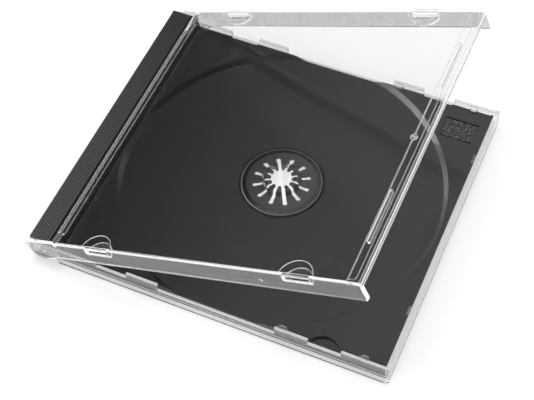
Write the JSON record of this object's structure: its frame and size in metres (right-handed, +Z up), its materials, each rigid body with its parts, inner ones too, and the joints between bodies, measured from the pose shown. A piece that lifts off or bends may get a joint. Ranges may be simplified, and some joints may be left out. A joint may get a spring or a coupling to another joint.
{
  "type": "cd jewel case",
  "caption": "Clear hinged case for a 120 mm disc, with a dark ribbed tray, snap rosette and booklet tabs, shown part open.",
  "frame": {"origin": "middle of the closed case's footprint, on the underside of the base", "axes": "+X from the hinge spine to the opening edge, +Y along the hinge axis, +Z up"},
  "size_m": [0.1433, 0.1244, 0.0601],
  "materials": {
    "clear_polystyrene": "clear, polished mould",
    "dark_polystyrene": "satin mould finish"
  },
  "bodies": {
    "case_base": {"base": "clear_polystyrene", "disc_tray": "dark_polystyrene"},
    "case_lid": {"lid": "clear_polystyrene"}
  },
  "joints": [
    {"name": "lid_hinge", "type": "hinge", "parent": "case_base", "child": "case_lid", "pos_m": [-0.0658, 0, 0.0052], "axis": [0, -1, 0], "range_deg": [-21.5, 158.5]}
  ]
}
